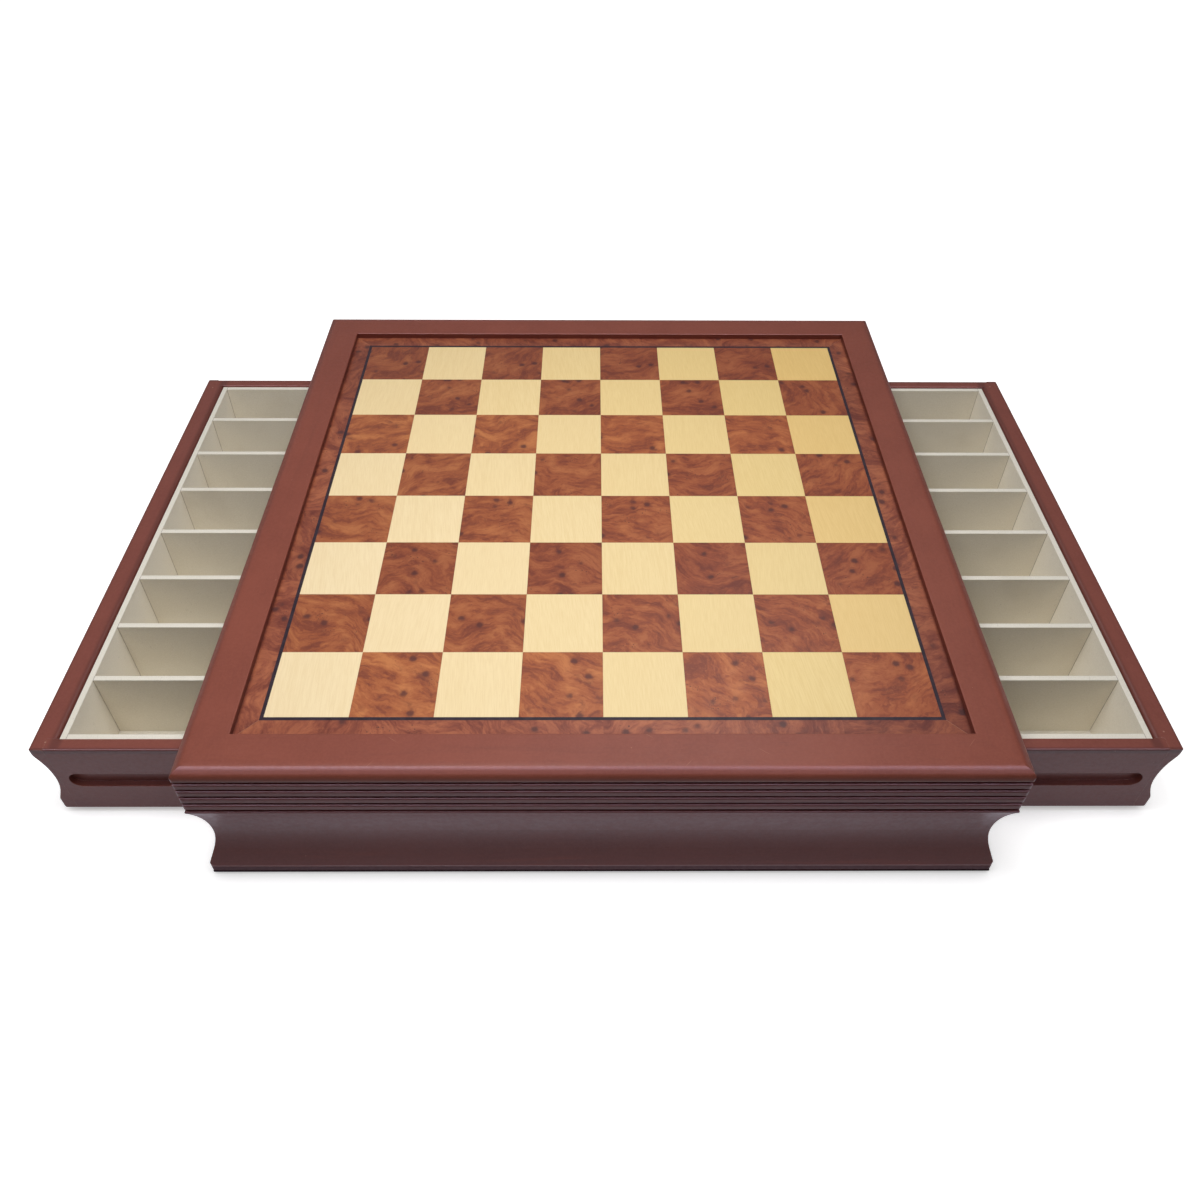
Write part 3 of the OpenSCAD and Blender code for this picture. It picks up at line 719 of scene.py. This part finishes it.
def bare_ply():
    """Bare plywood: pale face veneer and, on its edges, plies of turn-about colour."""
    finish, tree, shader, place = new_finish("plywood_bare", Specular_IOR_Level=0.3)
    grain = place_group(tree, GRAIN, Place=place, Turn=ALONG_X, Seed=5.0)
    two_plies = 0.0028
    ply = calc(tree, "FRACT", calc(tree, "DIVIDE", parts_of(tree, place)[2], two_plies))
    upright = span(tree, calc(tree, "ABSOLUTE", parts_of(tree, facing(tree))[2]), 0.6, 0.3)
    streaks = span(tree, grain["Streaks"], 0.35, 0.70)
    colour = blend_colour(tree, streaks, (0.60, 0.43, 0.25), (0.47, 0.31, 0.17))
    colour = laid_on(tree, grain["Pores"], 0.35, colour, (0.30, 0.19, 0.10))
    crossed = calc(tree, "MULTIPLY", span(tree, ply, 0.48, 0.54), upright)
    colour = laid_on(tree, crossed, 0.6, colour, (0.34, 0.22, 0.12))
    roughness = span(tree, grain["Streaks"], 0.2, 0.8, 0.62, 0.78)
    normal = bump(tree, grain["Pores"], facing(tree), strength=0.25, distance=0.0002)
    join_shader(tree, shader, colour, normal, roughness)
    return finish


def waxed_beech():
    """Waxed beech of the runners: pink-tan with dark ray flecks, polished where a drawer rides."""
    finish, tree, shader, place = new_finish("beech_waxed", Specular_IOR_Level=0.5)
    grain = place_group(tree, GRAIN, Place=place, Turn=ALONG_X, Seed=9.0)
    arris = place_group(tree, ARRIS, Place=place, Round=0.0004, Reach=0.0010)
    rays = noise(tree, stretched(tree, place, 420, 1500, 1500), 1.0, 1.0)[0]
    streaks = span(tree, grain["Streaks"], 0.35, 0.70)
    colour = blend_colour(tree, streaks, (0.60, 0.40, 0.24), (0.48, 0.29, 0.16))
    colour = laid_on(tree, span(tree, rays, 0.60, 0.72), 0.5, colour, (0.30, 0.16, 0.08))
    colour = laid_on(tree, arris["Wear"], 0.5, colour, (0.70, 0.52, 0.34))
    roughness = span(tree, grain["Clouds"], 0.3, 0.7, 0.30, 0.48)
    normal = bump(tree, grain["Pores"], arris["Normal"], strength=0.20, distance=0.0002)
    join_shader(tree, shader, colour, normal, roughness)
    return finish


def nail_stopping():
    """Stopping that fills a nail hole: pale, a little rough and mottled by stain."""
    finish, tree, shader, place = new_finish("nail_stopping", Specular_IOR_Level=0.4)
    tone = noise(tree, place, 1800.0, 2.0, 0.6)[0]
    colour = blend_colour(tree, span(tree, tone, 0.35, 0.65), (0.42, 0.24, 0.17), (0.30, 0.13, 0.09))
    roughness = span(tree, tone, 0.3, 0.7, 0.50, 0.66)
    normal = bump(tree, tone, facing(tree), strength=0.30, distance=0.0001)
    join_shader(tree, shader, colour, normal, roughness)
    return finish


def zinc_plated_steel():
    """Zinc-plated steel of the screws, with turning marks and a mottled passivation."""
    finish, tree, shader, place = new_finish("zinc_plated_steel", Metallic=1.0)
    mottle = span(tree, noise(tree, place, 700.0, 3.0, 0.6)[0], 0.35, 0.70)
    marks = noise(tree, stretched(tree, place, 300, 2500, 300), 1.0, 2.0)[0]
    bright = (0.62, 0.61, 0.58)
    colour = blend_colour(tree, mottle, bright, tuple(0.72 * part for part in bright))
    roughness = span(tree, marks, 0.3, 0.7, 0.28, 0.50)
    normal = bump(tree, marks, facing(tree), strength=0.15, distance=0.0001)
    join_shader(tree, shader, colour, normal, roughness)
    return finish


FINISHES = {
    "cap_x": stained_wood("mahogany_cap_along_x", "cap", ALONG_X, 1.0, CAP_TONE),
    "cap_y": stained_wood("mahogany_cap_along_y", "cap", ALONG_Y, 1.0, CAP_TONE),
    "moulding_x": stained_wood("mahogany_moulding_along_x", "moulding", ALONG_X, 3.0, MOULDING_SHADE_TONE),
    "moulding_y": stained_wood("mahogany_moulding_along_y", "moulding", ALONG_Y, 3.0, MOULDING_SHADE_TONE),
    "base": stained_wood("mahogany_base_edge", "moulding", ALONG_X, 3.0, BASE_SHADE_TONE, shine=0.12),
    "drawer_x": stained_wood("mahogany_drawer_along_x", "drawer", ALONG_X, 6.0, DRAWER_TONE),
    "drawer_y": stained_wood("mahogany_drawer_along_y", "drawer", ALONG_Y, 6.0, DRAWER_TONE),
    "maple": maple_squares(),
    "burl": burl_squares(),
    "border": burl_border(),
    "stringing": dyed_stringing(),
    "lining": flocked_card("flocked_lining"),
    "left_strip": flocked_card("flocked_strips_left", inner_face("left_liner_front")),
    "right_strip": flocked_card("flocked_strips_right", inner_face("right_liner_front")),
    "card": flocked_card("flocked_floor_cards", soft_edges=False),
    "ply": bare_ply(),
    "runner": waxed_beech(),
    "zinc": zinc_plated_steel(),
    "stopping": nail_stopping(),
}


def finish_of(node):
    """The finish that belongs to a node of the model."""
    if node.startswith("frame_rail"):
        return "cap_x" if node.endswith(("near", "far")) else "cap_y"
    if node.startswith(("reeded_rail", "cove_panel")):
        return "moulding_x" if node.endswith(("near", "far")) else "moulding_y"
    if node.startswith("corner_return"):
        return "moulding_y"
    if node.endswith(("liner_front", "liner_back")):
        return "lining"
    if "liner" in node or "divider" in node:
        return node.split("_")[0] + "_strip"
    if node.endswith(("_front", "_back")):
        return "drawer_y"
    if "_side_" in node:
        return "drawer_x"
    return {
        "base_board": "base", "light_squares": "maple", "dark_squares": "burl",
        "stringing": "stringing", "burl_border": "border", "base_screws": "zinc",
        "runner_near": "runner", "runner_far": "runner",
    }.get(node, "ply")


for node_name, node_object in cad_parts.items():
    for material_slot in node_object.material_slots:
        material_slot.material = FINISHES[finish_of(node_name)]


# ---------------------------------------------------------------- pieces that the model hasn't got

def new_piece(name, shape, finish, body):
    """Makes a piece of a bmesh shape that moves with a body."""
    mesh = bpy.data.meshes.new(name)
    shape.to_mesh(mesh)
    shape.free()
    piece = bpy.data.objects.new(name, mesh)
    bpy.context.scene.collection.objects.link(piece)
    mesh.materials.append(FINISHES[finish])
    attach(piece, body)


CARD_THICK = 0.0005
CARD_GAP = 0.00004
CARD_ROUND = 0.0001
CARD_SWELL = 0.0002
SWELL_RIM = 0.004


def lay_card(name, body, low, high, floor_z, chance):
    """A flocked card on the bottom of one compartment; its pile swells a little towards the middle."""
    shape = bmesh.new()
    size = (high[0] - low[0], high[1] - low[1], CARD_THICK)
    middle = ((low[0] + high[0]) / 2, (low[1] + high[1]) / 2, floor_z + CARD_THICK / 2)
    corners = bmesh.ops.create_cube(shape, size=1.0)["verts"]
    bmesh.ops.scale(shape, verts=corners, vec=size)
    bmesh.ops.translate(shape, verts=corners, vec=middle)
    upright = [edge for edge in shape.edges if edge.verts[0].co.xy == edge.verts[1].co.xy]
    bmesh.ops.bevel(shape, geom=upright, offset=CARD_ROUND, segments=2, affect="EDGES")
    rim = [edge for edge in shape.edges if min(corner.co.z for corner in edge.verts) > middle[2]]
    bmesh.ops.bevel(shape, geom=rim, offset=CARD_ROUND, segments=2, affect="EDGES")
    top = [face for face in shape.faces if face.normal.z > 0.99]
    bmesh.ops.inset_region(shape, faces=top, thickness=SWELL_RIM)
    for face in top:
        for corner in face.verts:
            corner.co.z += CARD_SWELL * chance.uniform(0.4, 1.0)
    new_piece(name, shape, "card", body)


def line_floors(side):
    """Lays a card in each compartment of a drawer, on the bottom, between the strips that bound it."""
    chance = random.Random(side)
    floor_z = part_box(side + "_liner_front")[0][2]
    strips = [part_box(side + "_liner_near")]
    strips += [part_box(f"{side}_divider_{number}") for number in range(1, 8)]
    strips += [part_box(side + "_liner_far")]
    strips.sort(key=lambda box: box[0][1])
    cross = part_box(side + "_cross_divider")
    halves = [(strips[0][0][0], cross[0][0]), (cross[1][0], strips[0][1][0])]
    for number, (near, far) in enumerate(zip(strips, strips[1:]), 1):
        # Half a is the one on the left of the cross divider
        for half, (x_low, x_high) in zip("ab", halves):
            low = (x_low + CARD_GAP, near[1][1] + CARD_GAP)
            high = (x_high - CARD_GAP, far[0][1] - CARD_GAP)
            lay_card(f"{side}_floor_card_{number}{half}", side + "_drawer", low, high, floor_z, chance)


STOPPING_R = 0.00055
STOPPING_PROUD = 0.00005
STOPPING_DEEP = 0.0004

# Nail holes in the drawers' upper edges: which drawer, how far behind its face, and where along the front
NAIL_HOLES = (
    ("left", 0.0075, -0.1545), ("left", 0.0060, 0.1500),
    ("right", 0.0065, -0.1485), ("right", 0.0070, 0.1530),
)


def stop_nail_hole(name, side, behind_face, y):
    """A dab of stopping, not quite round, that stands barely proud of a drawer's upper edge."""
    inwards = 1 if side == "left" else -1
    x = outer_face(side + "_front") + inwards * behind_face
    shape = bmesh.new()
    corners = bmesh.ops.create_cone(shape, cap_ends=True, segments=20, radius1=STOPPING_R,
                                    radius2=STOPPING_R * 0.8, depth=STOPPING_DEEP)["verts"]
    middle = (x, y, DRAWER_TOP + STOPPING_PROUD - STOPPING_DEEP / 2)
    bmesh.ops.translate(shape, verts=corners, vec=middle)
    for corner in corners:
        corner.co.x += 0.12 * STOPPING_R * math.sin(7.0 * corner.co.y / STOPPING_R)
    new_piece(name, shape, "stopping", side + "_drawer")


line_floors("left")
line_floors("right")
for hole_number, (hole_side, hole_behind, hole_y) in enumerate(NAIL_HOLES, 1):
    stop_nail_hole(f"{hole_side}_nail_stopping_{hole_number}", hole_side, hole_behind, hole_y)


# ---------------------------------------------------------------- lamps, floor and camera

# The paper of the floor: how the camera sees it, what it throws back at the box, and its mirrored tint
WHITE = (1.0, 1.0, 1.0)
PAPER_REACH = 6.0
PAPER_DROP = 0.0002
PAPER_SEEN = (0.85, 0.85, 0.85)
PAPER_BOUNCE = (0.28, 0.28, 0.29)
PAPER_MIRRORED_TINT = (0.92, 0.89, 1.03)

# The room: its mirrored tints behind the box and on the player's side, and how strongly it lights the box
ROOM_BEHIND_TINT = (0.96, 0.98, 1.06)
ROOM_FRONT_TINT = (0.66, 0.74, 1.04)
ROOM_LIGHT = 0.14

CAMERA_TILT = math.radians(43.346)
CAMERA_ROLL = math.radians(-0.432)
CAMERA_PAN = math.radians(0.053)
CAMERA_PLACE = (-0.00524, -0.44808, 0.46692)
LENS_MM = 30.119
SENSOR_MM = 36.0
LENS_SHIFT = -0.04757


def softbox(name, place, aim, wide, deep, watts, mirrored):
    """A rectangular lamp at a place, turned towards a point, that the lacquer may mirror."""
    lamp = bpy.data.lights.new(name, "AREA")
    lamp.shape = "RECTANGLE"
    lamp.size = wide
    lamp.size_y = deep
    lamp.energy = watts
    holder = bpy.data.objects.new(name, lamp)
    holder.location = place
    holder.rotation_euler = (Vector(aim) - Vector(place)).to_track_quat("-Z", "Y").to_euler()
    holder.visible_camera = False
    holder.visible_glossy = mirrored
    bpy.context.scene.collection.objects.link(holder)


def mirrored_rays(tree):
    """1 for the rays that bring a reflection or a view through glass."""
    rays = add(tree, "ShaderNodeLightPath").outputs
    return calc(tree, "MAXIMUM", rays["Is Glossy Ray"], rays["Is Transmission Ray"])


def camera_rays(tree):
    """1 for the rays that come straight to the camera."""
    return add(tree, "ShaderNodeLightPath").outputs["Is Camera Ray"]


def paper_in_the_lacquer(tree, place):
    """How bright the paper is where the box mirrors it: pale near the foot, and dim under it and far off."""
    x, y, _ = parts_of(tree, place)
    across, deep = calc(tree, "ABSOLUTE", x), calc(tree, "ABSOLUTE", y)
    sideways = calc(tree, "SUBTRACT", across, CASE_HALF)
    forwards = calc(tree, "SUBTRACT", deep, CASE_HALF)
    from_foot = calc(tree, "MAXIMUM", sideways, forwards)
    close = calc(tree, "MULTIPLY", span(tree, from_foot, -0.002, 0.002, 0.10, 1.0),
                 span(tree, from_foot, 0.002, 0.024, 1.40, 0.58))
    far_off = calc(tree, "MULTIPLY", span(tree, from_foot, 0.03, 0.30, 1.0, 0.12),
                   span(tree, across, 0.08, 0.26, 1.0, 0.70))
    # Beside the case the drawers stand clear of the paper, and it stays brighter
    beside = calc(tree, "MULTIPLY", span(tree, sideways, 0.0, 0.010), span(tree, forwards, 0.030, 0.0))
    under = span(tree, deep, DRAWER_HALF + 0.004, DRAWER_HALF + 0.036, 0.58, 0.98)
    return between(tree, beside, calc(tree, "MULTIPLY", close, far_off), under)


def lay_floor():
    """A pale floor that keeps the box's shadow: part of its white is its own for the rays that show it."""
    mesh = bpy.data.meshes.new("studio_floor")
    shape = bmesh.new()
    bmesh.ops.create_grid(shape, x_segments=8, y_segments=8, size=PAPER_REACH)
    shape.to_mesh(mesh)
    shape.free()
    floor = bpy.data.objects.new("studio_floor", mesh)
    floor.location = (0, 0, -PAPER_DROP)
    bpy.context.scene.collection.objects.link(floor)
    paper = bpy.data.materials.new("studio_paper")
    paper.use_nodes = True
    tree = paper.node_tree
    tree.nodes.clear()
    place = add(tree, "ShaderNodeTexCoord").outputs["Object"]
    # The lamps reach less of the paper far off, so more of its white is its own there
    away = vector_calc(tree, "LENGTH", place)
    white = span(tree, away, 0.20, 1.00, 0.77, 0.98)
    # Painted shadow: the paper's own white is darkest where the box stands on it
    contact_shadow = add(tree, "ShaderNodeAmbientOcclusion", {"Distance": 0.016}, samples=8).outputs["AO"]
    white = calc(tree, "MULTIPLY", white, span(tree, contact_shadow, 0.15, 0.95, 0.42, 1.0))
    mirrored = mirrored_rays(tree)
    white = between(tree, mirrored, white, paper_in_the_lacquer(tree, place))
    shown = calc(tree, "MAXIMUM", camera_rays(tree), mirrored)
    lit_colour = blend_colour(tree, camera_rays(tree), PAPER_BOUNCE, PAPER_SEEN)
    lit = add(tree, "ShaderNodeBsdfDiffuse", {"Color": lit_colour})
    tint = blend_colour(tree, mirrored, WHITE, PAPER_MIRRORED_TINT)
    own = add(tree, "ShaderNodeEmission", {"Color": tint, "Strength": calc(tree, "MULTIPLY", shown, white)})
    both = add(tree, "ShaderNodeAddShader", {0: lit.outputs[0], 1: own.outputs[0]})
    out = tree.nodes.new("ShaderNodeOutputMaterial")
    tree.links.new(both.outputs[0], out.inputs[0])
    paper.cycles.emission_sampling = "NONE"
    mesh.materials.append(paper)


def light_room():
    """White where the background shows, a dim room for what mirrors it, dimmer on the player's side."""
    world = bpy.data.worlds.new("studio_room")
    bpy.context.scene.world = world
    world.use_nodes = True
    tree = world.node_tree
    tree.nodes.clear()
    right, away, up = parts_of(tree, add(tree, "ShaderNodeTexCoord").outputs["Generated"])
    room = span(tree, away, -0.2, 0.7, 0.03, 0.28)
    # A pale ceiling over the player gives the cap's rounding its soft light
    overhead = calc(tree, "MULTIPLY", span(tree, away, -0.80, -0.35), span(tree, away, 0.16, -0.05))
    overhead = calc(tree, "MULTIPLY", overhead, span(tree, up, 0.4, 0.75, 0.0, 6.5))
    # The room is paler on the left
    leftwards = span(tree, right, -0.45, 0.45, 1.25, 0.72)
    room = calc(tree, "MULTIPLY_ADD", room, leftwards, overhead)
    mirrored = mirrored_rays(tree)
    shown = calc(tree, "MAXIMUM", camera_rays(tree), mirrored)
    strength = between(tree, shown, ROOM_LIGHT, between(tree, mirrored, 1.0, room))
    cool = blend_colour(tree, span(tree, away, 0.5, -0.2), ROOM_BEHIND_TINT, ROOM_FRONT_TINT)
    tint = blend_colour(tree, mirrored, WHITE, cool)
    back = add(tree, "ShaderNodeBackground", {"Color": tint, "Strength": strength})
    out = tree.nodes.new("ShaderNodeOutputWorld")
    tree.links.new(back.outputs[0], out.inputs[0])


def set_camera():
    """The camera of the photograph, found from the board's corners."""
    look = Matrix.Rotation(CAMERA_PAN, 3, "Z") @ Matrix.Rotation(CAMERA_ROLL, 3, "Y")
    look = look @ Matrix.Rotation(CAMERA_TILT, 3, "X")
    # Before it is tilted, the camera looks along Y with Z upwards
    look = look @ Matrix(((1, 0, 0), (0, 0, -1), (0, 1, 0)))
    axes = Matrix((look[0], -look[1], -look[2])).transposed()
    lens = bpy.data.cameras.new("photo_camera")
    lens.sensor_width = SENSOR_MM
    lens.lens = LENS_MM
    lens.shift_y = LENS_SHIFT
    lens.clip_start = 0.01
    lens.clip_end = 50.0
    camera = bpy.data.objects.new("photo_camera", lens)
    camera.matrix_world = Matrix.Translation(CAMERA_PLACE) @ axes.to_4x4()
    bpy.context.scene.collection.objects.link(camera)
    bpy.context.scene.camera = camera


lay_floor()
light_room()
softbox("near_softbox", place=(-0.03, -0.10, 0.57), aim=(-0.03, -0.10, 0.0), wide=0.32, deep=0.22,
        watts=1.75, mirrored=False)
softbox("long_softbox", place=(-0.05, 0.02, 0.85), aim=(-0.02, 0.0, 0.0), wide=1.30, deep=0.30,
        watts=3.05, mirrored=True)
set_camera()

bpy.context.scene.view_settings.view_transform = "Standard"
